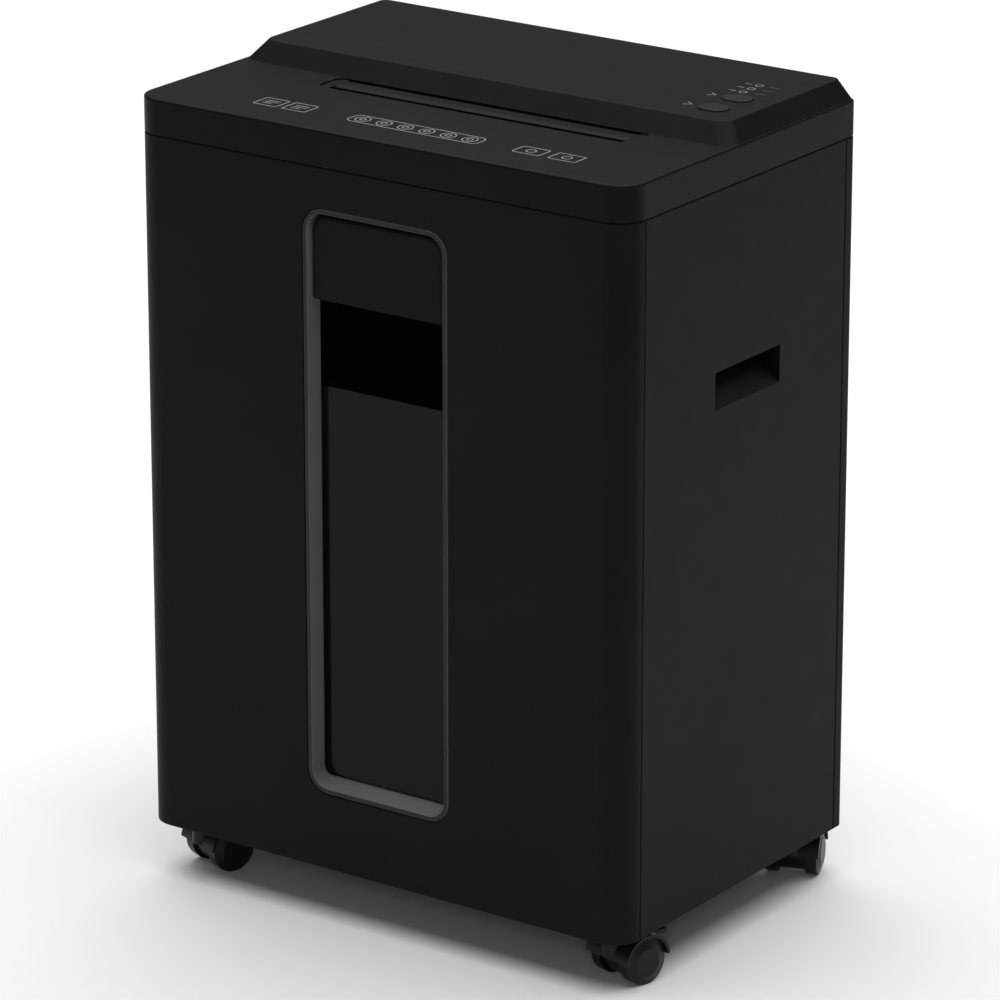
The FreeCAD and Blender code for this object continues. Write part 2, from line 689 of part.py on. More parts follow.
def bin_bucket():
    """The tub, open at the top, with a window in its front wall behind the fascia's pane."""
    wall = size.bin_wall
    side = panel_face - size.bin_side_gap
    back = back_seam - size.bin_back_gap
    low = (-side, fascia_back, tub_low)
    high = (side, back, tub_high)
    block = box("tub_block", low, high)
    hollow = box("tub_hollow", (wall - side, fascia_back + wall, tub_low + wall),
                 (side - wall, back - wall, tub_high + size.past))
    view = box("tub_view", (pane_left, fascia_back - size.past, pane_low),
               (pane_right, fascia_back + wall + size.past, tub_high - size.view_margin))
    bores = [cylinder(f"tub_bore_{k}", size.screw_radius, (x, fascia_back - size.past, z),
                      wall + size.past * 2, "Y")
             for k, (x, z) in enumerate(fascia_screws())]
    return cut("bin_bucket", block, hollow, view, *bores)


def bin_screws():
    """The screws that hold the fascia to the tub, driven from inside the tub."""
    inner = fascia_back + size.bin_wall
    shanks = []
    for k, (x, z) in enumerate(fascia_screws()):
        reach = size.screw_length - size.fit_gap
        shank = cylinder(f"screw_shank_{k}", size.screw_radius, (x, fascia_back - reach, z),
                         reach + size.bin_wall, "Y")
        head = cylinder(f"screw_head_{k}", size.screw_head, (x, inner, z), size.screw_cap, "Y")
        shanks.append(fuse(f"screw_{k}", shank, head))
    return fuse("bin_screws", *shanks)


def interlock_tab():
    """The finger on the fascia that closes the safety switch when the bin is home."""
    low_z = tab_level - size.tab_tall / 2
    return box("interlock_tab", (tab_left, size.fascia_wall - half_depth, low_z),
               (tab_left + size.tab_wide, tab_tip, low_z + size.tab_tall))


# ---------------------------------------------------------------- head

def head_cover():
    """The top moulding: the deck with its paper slot, and the raised housing for the controls."""
    body = new_body("head_cover")
    r, b, wall = size.corner_radius, size.back_radius, size.head_wall
    deck = outline(new_sketch(body, "deck_outline", "XY_Plane", seam_level), -half_width, half_width,
                   -half_depth, half_depth, (r, r, b, b))
    pad(body, deck, size.head_height)
    body_fillet(body, size.deck_radius, lambda e: near(centre(e).z, deck_level) and flat_in(e, "Z"))
    body_fillet(body, size.rim_radius, lambda e: near(centre(e).z, seam_level) and flat_in(e, "Z"))
    inset = size.foot_inset
    c = size.housing_corner + inset
    foot = outline(new_sketch(body, "housing_foot", "XY_Plane", deck_level - inset), inset - half_width,
                   half_width - inset, housing_front, half_depth - inset, (c, c, b, b))
    crown = outline(new_sketch(body, "housing_crown", "XY_Plane", top_level), size.slope_run - half_width,
                    half_width - size.slope_run, housing_front + size.slope_run,
                    half_depth - size.crown_back, (size.housing_corner,) * 2 + (b, b))
    raised = body.newObject("PartDesign::AdditiveLoft", "housing")
    raised.Profile = foot
    raised.Sections = [crown]
    body_fillet(body, size.crown_radius, lambda e: near(centre(e).z, top_level) and flat_in(e, "Z"))
    hollows = (("under_deck", wall - half_width, half_width - wall, wall - half_depth, half_depth - wall,
                deck_level - size.slot_block, (r - wall, r - wall, b - wall, b - wall)),
               ("under_front", wall - half_width, half_width - wall, wall - half_depth,
                slot_low - size.slot_lip,
                deck_level - wall, (r - wall, r - wall, 0, 0)),
               ("under_back", wall - half_width, half_width - wall, slot_high + size.slot_flange,
                half_depth - wall, deck_level - wall, (0, 0, b - wall, b - wall)),
               ("under_housing", cavity_left, cavity_right, cavity_front, cavity_back,
                top_level - wall, (0, 0, 0, 0)))
    for name, left, right, low, high, top, radii in hollows:
        face = outline(new_sketch(body, name, "XY_Plane", seam_level), left, right, low, high, radii)
        pocket(body, face, top - seam_level, backwards=True)
    posts = new_sketch(body, "board_posts", "XY_Plane", board_level + size.board_wall)
    for x, y in board_corners():
        ring(posts, x, y, size.post_radius)
    pad(body, posts, top_level - wall - board_level - size.board_wall)
    e = size.recess_end
    c = size.recess_round
    recess_floor = deck_level - size.recess_drop
    recess = outline(new_sketch(body, "slot_recess", "XY_Plane", recess_floor), slot_left - e,
                     slot_right + e,
                     slot_low - size.recess_front, recess_high, (c, c, c, c))
    pocket(body, recess, size.recess_drop + size.past, backwards=True)
    groove = outline(new_sketch(body, "slot_groove", "XY_Plane", deck_level - size.groove_deep), slot_left,
                     slot_right, recess_high - size.groove_wide, recess_high)
    pocket(body, groove, size.groove_deep + size.past, backwards=True)
    throat = outline(new_sketch(body, "slot_throat", "XY_Plane", seam_level), slot_left, slot_right,
                     slot_low, slot_high)
    pocket(body, throat, size.head_height + size.past, backwards=True)
    ramp = new_sketch(body, "slot_ramp", "YZ_Plane", slot_left)
    triangle(ramp, (slot_high, recess_floor - size.ramp_drop), (slot_high + size.ramp_run, recess_floor),
             (slot_high, recess_floor + size.past))
    pocket(body, ramp, size.slot_length, backwards=True)
    for name, y in (("start_hole", button_first_y), ("reverse_hole", button_second_y)):
        hole = button_outline(new_sketch(body, name, "XY_Plane", top_level + size.past), y, size.button_gap)
        pocket(body, hole, wall + size.past * 2)
    lights = new_sketch(body, "lens_holes", "XY_Plane", top_level + size.past)
    for y in lens_rows():
        outline(lights, lens_left, lens_left + size.lens_length, y, y + size.lens_wide)
    pocket(body, lights, wall + size.past * 2)
    return body


def triangle(made, first, second, third):
    """A triangle in a sketch with all three corners held."""
    corners = [[dim(a) for a in corner] for corner in (first, second, third)]
    sides = []
    for n in range(3):
        a, b = corners[n], corners[(n + 1) % 3]
        sides.append(made.addGeometry(Part.LineSegment(Vector(a[0].value, a[1].value, 0),
                                                       Vector(b[0].value, b[1].value, 0))))
    for n in range(3):
        made.addConstraint(Sketcher.Constraint("Coincident", sides[n], 2, sides[(n + 1) % 3], 1))
    for n in range(3):
        for kind, amount in zip(("DistanceX", "DistanceY"), corners[n]):
            key = made.addConstraint(Sketcher.Constraint(kind, -1, 1, sides[n], 1, amount.value))
            bind(made, f"Constraints[{key}]", amount)


def button_outline(made, y, grow):
    half_long = size.button_length / 2 + grow
    half_wide = size.button_wide / 2 + grow
    r = size.button_round + grow
    return outline(made, button_x - half_long, button_x + half_long, y - half_wide, y + half_wide,
                   (r, r, r, r))


def lens_rows():
    return [lens_first_y + size.lens_pitch * n - size.lens_wide / 2 for n in range(3)]


def board_corners():
    x, y = size.board_long / 2 - size.post_inset, size.board_deep / 2 - size.post_inset
    return [(board_x + i * x, board_y + j * y) for i in (-1, 1) for j in (-1, 1)]


def push_button(name, y):
    """An oval key with a retaining flange under the housing's top and a stem down to its switch."""
    body = new_body(name)
    top = top_level + size.button_proud
    cap = button_outline(new_sketch(body, name + "_cap", "XY_Plane", top), y, 0)
    pad(body, cap, size.button_proud + size.head_wall + size.fit_gap, backwards=True)
    body_fillet(body, size.button_edge, lambda e: near(centre(e).z, top) and flat_in(e, "Z"))
    flange_top = top_level - size.head_wall - size.fit_gap
    flange = button_outline(new_sketch(body, name + "_flange", "XY_Plane", flange_top), y,
                            size.button_flange)
    pad(body, flange, size.flange_wall, backwards=True)
    stem_top = flange_top - size.flange_wall
    stem = new_sketch(body, name + "_stem", "XY_Plane", stem_top)
    ring(stem, button_x, y, size.post_radius)
    pad(body, stem, stem_top - switch_top - size.button_travel - size.fit_gap, backwards=True)
    return body


def indicator_lenses():
    """Three clear bars let into the housing's top, each a light pipe down to the board."""
    bars = [box(f"lens_{n}", (lens_left, y, top_level - size.head_wall),
                (lens_left + size.lens_length, y + size.lens_wide,
                top_level + size.lens_proud)) for n, y in enumerate(lens_rows())]
    return fuse("indicator_lenses", *bars)


def control_board():
    """The circuit board under the keys, with its two switches and a relay."""
    half_x, half_y = size.board_long / 2, size.board_deep / 2
    board = box("board_sheet", (board_x - half_x, board_y - half_y, board_level),
                (board_x + half_x, board_y + half_y, board_level + size.board_wall))
    face = board_level + size.board_wall
    h = size.switch_half
    keys = [box(f"board_switch_{n}", (button_x - h, y - h, face), (button_x + h, y + h, switch_top))
            for n, y in enumerate((button_first_y, button_second_y))]
    gap, across = size.relay_gap, size.relay_size
    relay = box("board_relay", (board_x - gap - across, board_y + gap, board_level - across),
                (board_x - gap, board_y + gap + across, board_level))
    return fuse("control_board", board, relay, *keys)


def throat_guide():
    """The chute that leads the paper from the slot down to the rollers."""
    wall = size.guide_wall
    top = deck_level - size.slot_block
    bottom = cutter_level + size.guide_lift
    outer = box("guide_outer", (slot_left - wall, slot_low - wall, bottom),
                (slot_right + wall, slot_high + wall, top))
    inner = box("guide_inner", (slot_left, slot_low, bottom - size.past),
                (slot_right, slot_high, top + size.past))
    return cut("throat_guide", outer, inner)


# ---------------------------------------------------------------- cutter block

def cutter_plate(name, left, back):
    """An end plate of the cutter block, bored for the four journal bushes."""
    sheet_plate = box(name + "_sheet", (left, baffle_face + size.plate_inset, tray_top),
                      (left + size.plate_wall, back, tray_top + size.plate_height))
    bores = [cylinder(f"{name}_bore_{n}", size.bush_radius, (left - size.past, y, cutter_level),
                      size.plate_wall + size.past * 2, "X")
             for n, y in enumerate((front_roller, rear_roller))]
    return sheet_plate, bores


def cutter_plate_left():
    sheet_plate, bores = cutter_plate("cutter_plate_left", left_plate, rear_roller + size.plate_tail)
    return cut("cutter_plate_left", sheet_plate, *bores)


def cutter_plate_right():
    """The right-hand plate runs back to carry the intermediate axle and the motor."""
    sheet_plate, bores = cutter_plate("cutter_plate_right", right_plate, motor_y + size.motor_radius)
    bores.append(cylinder("axle_seat", size.axle_pin, (right_plate - size.past, middle_y, cutter_level),
                          size.plate_wall + size.past * 2, "X"))
    bores.append(cylinder("motor_nose_bore", size.nose_radius,
                          (right_plate - size.past, motor_y, cutter_level),
                          size.plate_wall + size.past * 2, "X"))
    return cut("cutter_plate_right", sheet_plate, *bores)


def cutter_bushes():
    rings = []
    for n, (x,
            y) in enumerate((x, y) for x in (left_plate, right_plate) for y in (front_roller, rear_roller)):
        outer = cylinder(f"bush_outer_{n}", size.bush_radius, (x, y, cutter_level), size.plate_wall, "X")
        bore = size.journal_radius + size.running_gap
        inner = cylinder(f"bush_bore_{n}", bore, (x - size.past, y, cutter_level),
                         size.plate_wall + size.past * 2, "X")
        rings.append(cut(f"bush_{n}", outer, inner))
    return fuse("cutter_bushes", *rings)


def cutter_tie_rods():
    """Three round spacers that hold the end plates apart."""
    start = left_plate + size.plate_wall
    rods = [cylinder(f"tie_rod_{n}", size.rod_radius, (start, y, z), right_plate - start, "X")
            for n, (y, z) in enumerate(tie_rod_places())]
    return fuse("cutter_tie_rods", *rods)


def tie_rod_places():
    low = tray_top + size.rod_radius + size.rod_lift
    front = baffle_face + size.plate_inset + size.rod_radius + size.rod_lift
    back = rear_roller + size.plate_tail - size.rod_radius - size.rod_lift
    high = tray_top + size.plate_height - size.rod_radius - size.rod_lift
    return [(front, low), (back, low), (back, high)]


def cutter_roller(name, y, shift, shaft_end):
    """A hardened roller: a core with evenly pitched cutting lands and a journal at each end."""
    lands = [cylinder(f"{name}_land_{n}", size.land_radius,
                      (slot_left + shift + size.land_pitch * n, y, cutter_level),
                      size.land_width, "X") for n in range(int(size.land_count.value))]
    core = cylinder(name + "_core", size.groove_radius, (slot_left, y, cutter_level), size.slot_length, "X")
    shaft = cylinder(name + "_shaft", size.journal_radius, (left_plate, y, cutter_level),
                     shaft_end - left_plate, "X")
    return fuse(name, core, shaft, *lands)


def stripper_comb(name, y, side):
    """A bar of fingers that reach into a roller's grooves and keep the shreds from winding round it."""
    shift = 0 if side < 0 else size.land_pitch / 2
    far = y + side * (size.land_radius + size.comb_gap)
    low_y, high_y = (far - size.comb_deep, far) if side < 0 else (far, far + size.comb_deep)
    start = left_plate + size.plate_wall
    spine = box(name + "_spine", (start, low_y, cutter_level - size.comb_half),
                (right_plate, high_y, cutter_level + size.comb_half))
    reach = size.groove_radius + size.comb_gap
    near_y = y + side * reach
    finger_low, finger_high = (far, near_y) if side < 0 else (near_y, far)
    first = slot_left + shift + size.land_width + size.comb_side
    wide = size.land_pitch - size.land_width - size.comb_side * 2
    fingers = [box(f"{name}_finger_{n}",
                   (first + size.land_pitch * n, finger_low, cutter_level - size.comb_half),
                   (first + size.land_pitch * n + wide, finger_high, cutter_level + size.comb_half))
               for n in range(int(size.land_count.value) - 1)]
    return fuse(name, spine, *fingers)


# ---------------------------------------------------------------- gear train

def gear(name, module, teeth, start, wide, y, bore, tooth_turn):
    """An involute spur gear along X; tooth_turn is the angle in degrees from +Y to a tooth's middle."""
    count = int(teeth.value)
    section = doc.addObject("Part::Feature", name + "_section")
    section.Shape = gear_face(module.value, count, size.gear_backlash.value * module.value)
    blank = doc.addObject("Part::Extrusion", name + "_blank")
    blank.Base = section
    blank.DirMode = "Custom"
    blank.Dir = Vector(1, 0, 0)
    blank.Solid = True
    bind(blank, "LengthFwd", wide)
    blank.Placement = Placement(Vector(), Rotation(Vector(1, 0, 0), tooth_turn))
    bind_base(blank, (start, y, cutter_level))
    if bore is None:
        return blank
    hole = cylinder(name + "_bore", bore, (start - size.past, y, cutter_level), wide + size.past * 2, "X")
    return cut(name, blank, hole)


def gear_face(module, count, backlash, pressure=math.radians(25), addendum=0.9, dedendum=1.15, steps=5):
    """A gear's outline in the YZ plane, with involute flanks and a tooth centred on +Y."""
    pitch_radius = module * count / 2
    base_radius = pitch_radius * math.cos(pressure)
    tip_radius = pitch_radius + addendum * module
    root_radius = pitch_radius - dedendum * module
    half_tooth = (math.pi * module / 2 - backlash) / (2 * pitch_radius)
    involute = math.tan(pressure) - pressure
    low_radius = max(base_radius, root_radius)
    flank = []
    for k in range(steps + 1):
        radius = low_radius + (tip_radius - low_radius) * k / steps
        tilt = math.acos(base_radius / radius)
        flank.append((radius, half_tooth + involute - (math.tan(tilt) - tilt)))
    flank.insert(0, (root_radius, flank[0][1]))
    points = []
    for n in range(count):
        middle = 2 * math.pi * n / count
        points += [(radius, middle - angle) for radius, angle in flank]
        points += [(radius, middle + angle) for radius, angle in reversed(flank)]
    ring_points = [Vector(0, radius * math.cos(angle), radius * math.sin(angle)) for radius,
                   angle in points]
    return Part.Face(Part.makePolygon(ring_points + ring_points[:1]))


def half_pitch(teeth):
    return 180 / teeth.value


def intermediate_gear():
    """The double gear between the motor and the rollers, free on its fixed axle."""
    bore = size.axle_pin + size.running_gap
    large = gear("first_wheel", size.first_module, size.first_teeth, gear_start, size.gear_wide, middle_y,
                 bore, 0)
    pinion_turn = 180 + half_pitch(size.final_pinion)
    length = size.gear_wide + size.gear_gap
    small = gear("final_pinion", size.final_module, size.final_pinion, gear_start + size.gear_wide, length,
                 middle_y, bore, pinion_turn)
    return fuse("intermediate_gear", large, small)


def intermediate_axle():
    """A fixed pin seated in the end plate, with a ring that keeps the double gear off the plate."""
    pin = cylinder("axle_bar", size.axle_pin, (right_plate, middle_y, cutter_level),
                   cover_face - right_plate, "X")
    start = right_plate + size.plate_wall
    ring_bar = cylinder("axle_ring", size.axle_pin + size.cup_wall, (start, middle_y, cutter_level),
                        gear_start - size.fit_gap - start, "X")
    return fuse("intermediate_axle", pin, ring_bar)


def motor_housing():
    """The motor's can, closed at both ends, with a nose that seats in the end plate."""
    wall = size.plate_wall
    start = right_plate - size.motor_length
    can = cylinder("motor_can", size.motor_radius, (start, motor_y, cutter_level), size.motor_length, "X")
    nose = cylinder("motor_nose", size.nose_radius, (right_plate, motor_y, cutter_level), wall, "X")
    hollow = cylinder("motor_hollow", size.motor_radius - wall, (start + wall, motor_y, cutter_level),
                      size.motor_length - wall * 2, "X")
    bore = cylinder("motor_bore", size.shaft_radius + size.running_gap,
                    (start - size.past, motor_y, cutter_level),
                    size.motor_length + wall + size.past * 2, "X")
    feet_low = (start + wall, motor_y - size.foot_half, tray_top)
    feet_high = (start + size.motor_length - wall, motor_y + size.foot_half, cutter_level)
    feet = box("motor_feet", feet_low, feet_high)
    return cut("motor_housing", fuse("motor_solid", can, nose, feet), hollow, bore)


def motor_rotor():
    """The armature on its shaft, with the motor pinion cut on the shaft's end."""
    start = right_plate - size.motor_length
    wall = size.plate_wall
    shaft = cylinder("rotor_shaft", size.shaft_radius, (start, motor_y, cutter_level), gear_start - start,
                     "X")
    core_start = start + wall + size.rotor_gap
    core_length = size.motor_length - (wall + size.rotor_gap) * 2
    core = cylinder("rotor_core", size.rotor_radius, (core_start, motor_y, cutter_level), core_length, "X")
    turn = 180 + half_pitch(size.first_pinion)
    pinion = gear("motor_pinion", size.first_module, size.first_pinion, gear_start, size.gear_wide,
                  motor_y, None, turn)
    return fuse("motor_rotor", shaft, core, pinion)


def gearbox_cover():
    """The cover over the gears, screwed to the end plate, which also steadies the axle's outer end."""
    wall = size.cup_wall
    start = right_plate + size.plate_wall
    end = cover_face + wall
    low_y = baffle_face + size.plate_inset
    high_y = motor_y + size.motor_radius
    top = tray_top + size.plate_height
    outer = box("cover_outer", (start, low_y, tray_top), (end, high_y, top))
    inner = box("cover_inner", (start - size.past, low_y + wall, tray_top - size.past),
                (cover_face, high_y - wall, top - wall))
    return cut("gearbox_cover", outer, inner)


# ---------------------------------------------------------------- electrics

def motor_capacitor():
    """The run capacitor, lying on the tray in its saddle."""
    r = size.capacitor_radius
    x = left_plate + size.capacitor_inset
    can = cylinder("capacitor_can", r, (x, motor_y, tray_top + r), size.capacitor_length, "X")
    saddle = box("capacitor_saddle", (x + r, motor_y - r, tray_top),
                 (x + size.capacitor_length - r, motor_y + r, tray_top + r))
    return fuse("motor_capacitor", can, saddle)


def power_inlet():
    """The mains module in the rear wall: a three-pin inlet for a detachable lead, and the rocker's seat."""
    back = half_depth
    front = back_seam - size.inlet_deep
    rim = size.inlet_rim
    gap = size.fit_gap
    flange = box("inlet_flange",
                 (inlet_left - rim, back - size.panel_wall - size.inlet_lip, inlet_low - rim),
                 (inlet_right + rim, back - size.panel_wall, inlet_high + rim))
    shell = box("inlet_shell", (inlet_left + gap, front, inlet_low + gap),
                (inlet_right - gap, back, inlet_high - gap))
    mouth = box("inlet_mouth", (socket_left, back - size.socket_deep, socket_low),
                (socket_right, back + size.past, socket_high))
    seat = box("rocker_seat", (rocker_left, back - size.socket_deep, socket_low),
               (rocker_right, back + size.past, socket_high))
    middle = (socket_left + socket_right) / 2
    pins = []
    lift = size.pin_lift
    for n, (dx, dz) in enumerate(((-size.pin_pitch, -lift), (0, lift), (size.pin_pitch, -lift))):
        x = middle + dx - size.pin_wide / 2
        z = rocker_z + dz - size.pin_tall / 2
        pins.append(box(f"inlet_pin_{n}", (x, back - size.socket_deep, z),
                        (x + size.pin_wide, back - size.pin_back, z + size.pin_tall)))
    bore_start = rocker_left - size.axle_reach
    bore = cylinder("rocker_bore", size.rocker_pin + size.running_gap,
                    (bore_start - gap, rocker_y, rocker_z),
                    rocker_right - rocker_left + (size.axle_reach + gap) * 2, "X")
    return fuse("power_inlet", cut("inlet_body", fuse("inlet_solid", flange, shell), mouth, seat, bore),
                *pins)


def mains_rocker():
    """The on and off rocker, tipped to its off side."""
    gap = size.fit_gap
    r = size.rocker_round
    left = rocker_left + gap
    wide = rocker_right - rocker_left - gap * 2
    barrel = cylinder("rocker_barrel", r, (left, rocker_y, rocker_z), wide, "X")
    half = (socket_high - socket_low) / 2 - size.rocker_clear
    out = rocker_y + size.rocker_out
    corners = [(rocker_y, rocker_z - half), (out - size.rocker_dish, rocker_z), (out, rocker_z + half),
               (rocker_y, rocker_z + half)]
    cap = prism("rocker_cap", corners, "X", left, wide)
    pin = cylinder("rocker_pin_bar", size.rocker_pin, (left - size.axle_reach, rocker_y, rocker_z),
                   wide + size.axle_reach * 2, "X")
    return fuse("mains_rocker", barrel, cap, pin)


def interlock_switch():
    """The safety switch on the baffle, which the bin's tab closes."""
    half = size.tab_wide / 2 + size.cup_wall
    x = tab_left + size.tab_wide / 2
    return box("interlock_switch", (x - half, baffle_face - size.switch_deep, tab_level - half * 2),
               (x + half, baffle_face, tab_level + half * 2))


def cabinet_screws():
    """The heads of the four screws that hold the chassis tray, one in each of its corners."""
    parts = []
    y_low, y_high = baffle_face + size.corner_hold, back_seam - size.corner_hold
    x_far = panel_face - size.corner_hold
    for n, (x, y) in enumerate((x, y) for x in (-x_far, x_far) for y in (y_low, y_high)):
        parts.append(cylinder(f"tray_screw_{n}", size.screw_head, (x, y, tray_top), size.screw_cap))
    return fuse("cabinet_screws", *parts)


# ---------------------------------------------------------------- casters

def placed(thing, x, y, angle):
    """Puts a caster piece, built about the stem's axis with its wheels towards +Y, in its place."""
    thing.Placement = Placement(Vector(), Rotation(Vector(0, 0, 1), angle.value))
    bind_base(thing, (x, y, 0))
    return thing


def caster_hood(name, x, y, angle, braked):
    """The swivelling body of a caster: a web between the wheels, a fender over them and a stem boss."""
    trail, hub = size.caster_trail, size.wheel_radius
    half = size.caster_wide / 2
    low = size.wheel_radius + size.fender_gap
    high = low + size.fender_wall
    web_half = half - size.wheel_wide - size.wheel_gap
    web = cylinder(name + "_web", hub - size.web_lift, (-web_half, trail, hub), web_half * 2, "X")
    ring_outer = cylinder(name + "_fender", high, (-half, trail, hub), half * 2, "X")
    ring_inner = cylinder(name + "_arch", low, (-half - size.past, trail, hub), half * 2 + size.past * 2,
                          "X")
    below = box(name + "_below", (-half - size.past, trail - high - size.past, hub - high - size.past),
                (half + size.past, trail + high + size.past, hub + size.fender_lift))
    fender = cut(name + "_fender_ring", ring_outer, ring_inner, below)
    roof_low = hub + size.wheel_radius - size.web_lift - size.fender_wall
    link = box(name + "_link", (-web_half, trail - size.boss_radius, roof_low - size.boss_drop),
               (web_half, trail + size.boss_radius, hub + low + size.fender_wall / 2))
    boss = cylinder(name + "_boss", size.boss_radius, (0, 0, boss_foot), hood_top - boss_foot)
    bridge = box(name + "_bridge", (-size.bridge_half, 0, boss_foot),
                 (size.bridge_half, trail, hood_top - size.bridge_drop))
    solid = fuse(name + "_solid", web, fender, link, boss, bridge)
    tools = [cylinder(name + "_stem_bore", size.stem_radius + size.running_gap,
                      (0, 0, stem_foot - size.fit_gap),
                      base_level),
             cylinder(name + "_axle_bore", size.axle_radius + size.running_gap, (-half, trail, hub),
                      half * 2, "X")]
    if braked:
        slot = size.pedal_wide / 2 + size.fit_gap
        tools.append(box(name + "_pedal_slot", (-slot, pedal_y - size.pedal_barrel - size.fit_gap, hub),
                         (slot, trail + high + size.past, base_level)))
        tools.append(cylinder(name + "_pedal_bore", size.pedal_pin + size.running_gap,
                              (-slot - size.pedal_reach - size.fit_gap, pedal_y, pedal_z),
                              (slot + size.pedal_reach + size.fit_gap) * 2, "X"))
    return placed(cut(name, solid, *tools), x, y, angle)


def caster_wheels(name, x, y, angle):
    """Two wheels with domed outer faces, fixed on one axle that turns in the hood's web."""
    trail, hub, half = size.caster_trail, size.wheel_radius, size.caster_wide / 2
    wide, crown = size.wheel_wide, size.wheel_crown
    rim = wide - crown
    parts = [cylinder(name + "_axle", size.axle_radius, (-half + crown, trail, hub), (half - crown) * 2,
                      "X")]
    for n, side in enumerate((-1, 1)):
        start = -half + crown if side < 0 else half - wide
        tread = cylinder(f"{name}_tread_{n}", hub, (start, trail, hub), rim, "X")
        dome = doc.addObject("Part::Cone", f"{name}_dome_{n}")
        bind(dome, "Radius1", hub - size.wheel_bevel)
        bind(dome, "Radius2", hub * size.dome_share)
        bind(dome, "Height", crown)
        dome.Placement = Placement(Vector(), Rotation(Vector(0, 1, 0), 90 * side))
        bind_base(dome, (side * (half - crown), trail, hub))
        parts += [tread, dome]
    return placed(fuse(name, *parts), x, y, angle)


def caster_brake(name, x, y, angle):
    """The brake pedal, pivoted in the fender behind the wheels."""
    half = size.pedal_wide / 2
    barrel = cylinder(name + "_barrel", size.pedal_barrel, (-half, pedal_y, pedal_z), half * 2, "X")
    blade = box(name + "_blade", (-half, pedal_y, pedal_z - size.pedal_barrel),
                (half, pedal_y + size.pedal_length,
                pedal_z - size.pedal_barrel + size.pedal_wall))
    pin = cylinder(name + "_pin", size.pedal_pin, (-half - size.pedal_reach, pedal_y, pedal_z),
                   (half + size.pedal_reach) * 2, "X")
    return placed(fuse(name, barrel, blade, pin), x, y, angle)


def caster_stems():
    """The four steel stems, pressed into the base's sockets, each with a collar over its hood."""
    stems = []
    for n, (x, y) in enumerate(caster_places()):
        shank = cylinder(f"stem_shank_{n}", size.stem_radius, (x, y, stem_foot),
                         base_level + size.base_height - stem_foot)
        collar = cylinder(f"stem_collar_{n}", size.collar_radius, (x, y, hood_top + size.fit_gap),
                          base_level - hood_top - size.fit_gap)
        stems.append(fuse(f"stem_{n}", shank, collar))
    return fuse("caster_stems", *stems)


# ---------------------------------------------------------------- the assembly

panel = side_panel("panel_right_hand")
keep("side_panel_right", panel)
keep("side_panel_left", mirrored("panel_left_hand", panel))
keep("back_panel", back_panel())
keep("base_plate", base_plate())
rail = guide_rail("rail_right_hand")
keep("guide_rail_right", rail)
keep("guide_rail_left", mirrored("rail_left_hand", rail))
keep("chassis_tray", chassis_tray())
keep("head_baffle", head_baffle())
keep("head_cover", head_cover())
keep("throat_guide", throat_guide())
keep("indicator_lenses", indicator_lenses())
keep("control_board", control_board())
keep("cutter_plate_left", cutter_plate_left())
keep("cutter_plate_right", cutter_plate_right())
keep("cutter_tie_rods", cutter_tie_rods())
keep("cutter_bushes", cutter_bushes())
keep("stripper_comb_front", stripper_comb("stripper_comb_front", front_roller, -1))
keep("stripper_comb_rear", stripper_comb("stripper_comb_rear", rear_roller, 1))
keep("intermediate_axle", intermediate_axle())
keep("gearbox_cover", gearbox_cover())
keep("motor_housing", motor_housing())
keep("motor_capacitor", motor_capacitor())
keep("power_inlet", power_inlet())
keep("interlock_switch", interlock_switch())
keep("cabinet_screws", cabinet_screws())
keep("caster_stems", caster_stems())

keep("bin_front", bin_front())
keep("window_bezel", window_bezel())
keep("window_pane", window_pane())
keep("grip_plate", grip_plate())
keep("grip_cup", grip_cup())
keep("bin_bucket", bin_bucket())
keep("bin_screws", bin_screws())
keep("interlock_tab", interlock_tab())

keep("button_start", push_button("button_start", button_first_y))
keep("button_reverse", push_button("button_reverse", button_second_y))
keep("mains_rocker", mains_rocker())

keep("cutter_roller_front", cutter_roller("roller_front", front_roller, 0, gear_start + size.gear_wide))
keep("cutter_roller_rear",
     cutter_roller("roller_rear", rear_roller, size.land_pitch / 2, output_start + size.gear_wide))
keep("sync_gear_front", gear("front_sync", size.sync_module, size.sync_teeth, gear_start, size.gear_wide,
                             front_roller, size.journal_radius, 0))
keep("sync_gear_rear", gear("rear_sync", size.sync_module, size.sync_teeth, gear_start, size.gear_wide,
                            rear_roller, size.journal_radius, 180 + half_pitch(size.sync_teeth)))
keep("output_gear", gear("output_wheel", size.final_module, size.final_teeth, output_start, size.gear_wide,
                         rear_roller, size.journal_radius, 0))
keep("intermediate_gear", intermediate_gear())
keep("motor_rotor", motor_rotor())

CORNERS = ("front_left", "front_right", "rear_left", "rear_right")
TURN_ANGLES = (size.left_caster_turn, size.front_caster_turn, size.rear_left_turn, size.rear_caster_turn)
for corner, (x, y), angle in zip(CORNERS, caster_places(), TURN_ANGLES):
    front = corner.startswith("front")
    keep("caster_hood_" + corner, caster_hood("hood_" + corner, x, y, -angle, front))
    keep("caster_wheels_" + corner, caster_wheels("wheels_" + corner, x, y, -angle))
    if front:
        keep("caster_brake_" + corner, caster_brake("brake_" + corner, x, y, -angle))

doc.recompute()

for thing in doc.Objects:
    faults = {"Invalid", "Error"} & set(thing.State)
    if faults:
        raise RuntimeError(f"{thing.Label}: {sorted(faults)}")
for node, thing in PARTS.items():
    if thing.Shape.isNull() or not thing.Shape.isValid() or not thing.Shape.Solids:
        raise RuntimeError(f"{node}: no valid solid")

os.makedirs("parts", exist_ok=True)
for node, thing in PARTS.items():
    thing.Shape.exportStep(f"parts/{node}.step")
